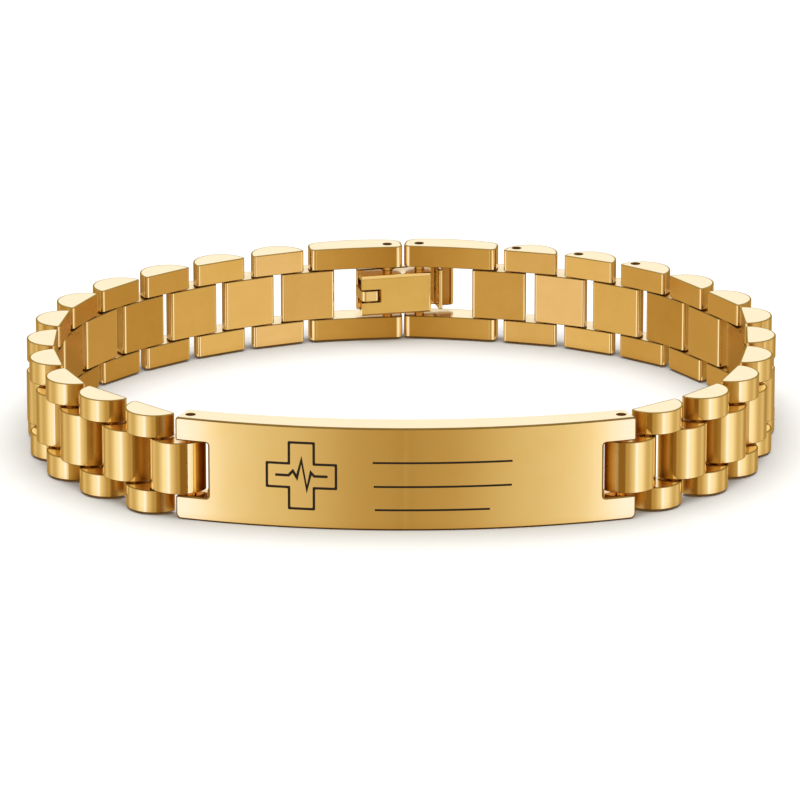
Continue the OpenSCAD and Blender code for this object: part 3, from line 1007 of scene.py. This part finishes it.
def ramp_node(tree, value, stops):
    node = tree.nodes.new("ShaderNodeValToRGB")
    ramp = node.color_ramp
    ramp.interpolation = "LINEAR"
    ramp.elements[0].position = stops[0][0]
    ramp.elements[0].color = stops[0][1]
    ramp.elements[1].position = stops[-1][0]
    ramp.elements[1].color = stops[-1][1]
    for pos, colour in stops[1:-1]:
        el = ramp.elements.new(pos)
        el.color = colour
    tree.links.new(value, node.inputs["Fac"])
    return node.outputs["Color"]


world = bpy.data.worlds.new("studio")
scene.world = world
world.use_nodes = True
tree = world.node_tree
tree.nodes.clear()
out = tree.nodes.new("ShaderNodeOutputWorld")
background = tree.nodes.new("ShaderNodeBackground")
tree.links.new(background.outputs["Background"], out.inputs["Surface"])
direction = tree.nodes.new("ShaderNodeTexCoord").outputs["Generated"]
split = tree.nodes.new("ShaderNodeSeparateXYZ")
tree.links.new(direction, split.inputs["Vector"])


def math_node(op, a, b=None):
    node = tree.nodes.new("ShaderNodeMath")
    node.operation = op
    for k, v in enumerate((a, b)):
        if v is None:
            continue
        if isinstance(v, (int, float)):
            node.inputs[k].default_value = v
        else:
            tree.links.new(v, node.inputs[k])
    return node.outputs[0]


minus_y = math_node("MULTIPLY", split.outputs["Y"], -1.0)
azimuth = math_node("ARCTAN2", split.outputs["X"], minus_y)
azimuth = math_node("ABSOLUTE", azimuth)
azimuth = math_node("DIVIDE", azimuth, math.pi)

FRONT_SKY, CEILING, NADIR = 0.55, 0.6, 0.15
# brightness round the horizon, by degrees from the camera's side
BANDS = [
    (0, 0.262), (2.5, 0.258), (8, 0.28), (14, 0.37), (20, 0.46), (25, 0.51), (29, 0.58), (32, 0.65), (34, 0.76), (36, 0.88), (38, 0.93), (41, 0.92), (45, 0.83), (50, 0.79),
    (55, 0.77), (62, 0.73), (70, 0.61), (80, 0.45), (88, 0.37), (98, 0.37), (104, 0.43), (112, 0.47),
    (118, 0.43), (125, 0.31), (133, 0.24), (145, 0.22), (160, 0.24), (180, 0.26),
]
low_colour = ramp_node(tree, azimuth, [(a / 180.0, studio(g)) for a, g in BANDS])
# Above the horizon: a bright backdrop behind and beside the object, which its
# top faces mirror, a dark room in front, and a soft ceiling over both.
BACKDROP = (1.02, 1.09, 1.22, 1)
height = split.outputs["Z"]


def mix_colours(a, b, factor):
    node = tree.nodes.new("ShaderNodeMix")
    node.data_type = "RGBA"
    for key, v in (("A", a), ("B", b)):
        if isinstance(v, tuple):
            node.inputs[key].default_value = v
        else:
            tree.links.new(v, node.inputs[key])
    tree.links.new(factor, node.inputs["Factor"])
    return node.outputs["Result"]


front_dark = mix_colours(studio(FRONT_SKY), studio(CEILING), remap(tree, height, 0.60, 0.92, 0.0, 1.0, True))
back_bright = mix_colours(BACKDROP, studio(CEILING), remap(tree, height, 0.55, 0.85, 0.0, 1.0, True))
low = mix_colours(low_colour, studio(NADIR), remap(tree, height, -0.50, -0.90, 0.0, 1.0, True))
front = mix_colours(low, front_dark, remap(tree, height, -0.12, 0.06, 0.0, 1.0, True))
back = mix_colours(low, back_bright, remap(tree, height, -0.03, 0.12, 0.0, 1.0, True))
sky = mix_colours(front, back, remap(tree, azimuth, 0.38, 0.52, 0.0, 1.0, True))
tree.links.new(sky, background.inputs["Color"])
background.inputs["Strength"].default_value = 1.0

# a large softbox overhead for the floor and its soft shadows
box_data = bpy.data.lights.new("softbox", "AREA")
box_data.shape = "SQUARE"
box_data.size = 1.5
box_data.energy = 34.5
box_data.color = (0.97, 0.985, 1.0)
softbox = bpy.data.objects.new("softbox", box_data)
softbox.location = (0.0, 0.05, 1.0)
softbox.visible_glossy = False
bpy.context.scene.collection.objects.link(softbox)

# a dark flag in front of the object, on edge to the camera, that the links at each side mirror
flag_mesh = bpy.data.meshes.new("flag")
flag_mesh.from_pydata(
    [(0.00038, -0.056, -0.3), (0.00038, -0.25, -0.3), (0.00038, -0.25, 0.02), (0.00038, -0.056, 0.02)], [], [(0, 1, 2, 3)]
)
flag = bpy.data.objects.new("flag", flag_mesh)
bpy.context.scene.collection.objects.link(flag)
flag_mat = bpy.data.materials.new("flag")
flag_mat.use_nodes = True
flag_mat.node_tree.nodes.clear()
flag_out = flag_mat.node_tree.nodes.new("ShaderNodeOutputMaterial")
glow = flag_mat.node_tree.nodes.new("ShaderNodeEmission")
glow.inputs["Color"].default_value = studio(0.107)
glow.inputs["Strength"].default_value = 1.0
flag_mat.node_tree.links.new(glow.outputs["Emission"], flag_out.inputs["Surface"])
flag_mesh.materials.append(flag_mat)
flag.visible_camera = False
flag.visible_diffuse = False
flag.visible_shadow = False
flag.visible_transmission = False
